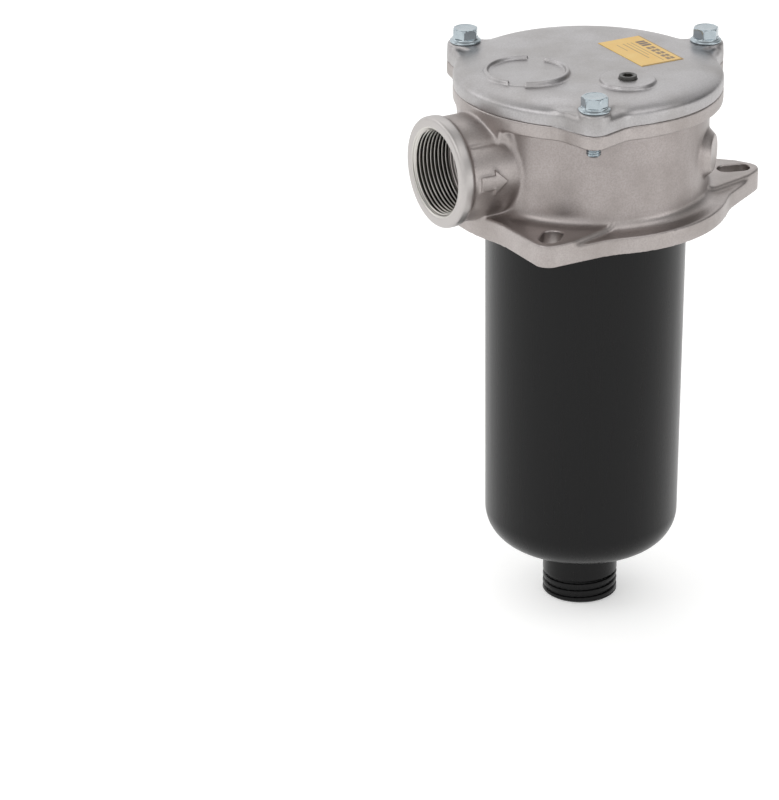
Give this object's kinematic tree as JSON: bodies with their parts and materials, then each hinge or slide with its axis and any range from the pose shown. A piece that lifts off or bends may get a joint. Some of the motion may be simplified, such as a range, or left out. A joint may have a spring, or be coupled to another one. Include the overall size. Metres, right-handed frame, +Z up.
{
  "type": "tank-top return line filter",
  "caption": "Tank-top hydraulic return filter: cast head with a lugged tank flange and a threaded side inlet, bolted cover, black bowl with an outlet spigot, pleated element inside.",
  "frame": {"origin": "centre of the tank flange's mounting face, on the filter's axis", "axes": "+Z up along the filter's axis through the cover, +X out of the threaded inlet port"},
  "size_m": [0.19, 0.1721, 0.3202],
  "materials": {
    "cast_aluminium": "matte bead-blasted casting",
    "cover_aluminium": "matte bead-blasted casting",
    "zinc_steel": "zinc-plated, slightly blue",
    "black_plastic": "satin black moulded nylon",
    "nitrile": "matte",
    "label_foil": "printed foil, satin",
    "sheet_steel": "tinned sheet, satin",
    "spring_steel": "drawn wire, satin",
    "filter_media": "matte paper"
  },
  "bodies": {
    "filter": {"head_housing": "cast_aluminium", "tank_seal": "nitrile", "cover": "cover_aluminium", "cover_seal": "nitrile", "cover_bolt_1": "zinc_steel", "cover_bolt_2": "zinc_steel", "cover_bolt_3": "zinc_steel", "gauge_plug": "black_plastic", "label": "label_foil", "bowl": "black_plastic", "bowl_seal": "nitrile", "hold_down_spring": "spring_steel", "element_top_cap": "sheet_steel", "bypass_cage": "black_plastic", "bypass_spring": "spring_steel", "support_tube": "sheet_steel", "pleated_media": "filter_media", "element_bottom_cap": "sheet_steel", "nozzle_seal": "nitrile"},
    "poppet": {"bypass_poppet": "sheet_steel"}
  },
  "joints": [
    {"name": "bypass_open", "type": "slide", "parent": "filter", "child": "poppet", "axis": [0, 0, -1], "range_m": [0, 0.005], "stiffness_N_per_m": 3000, "deforming": ["bypass_spring"]}
  ]
}
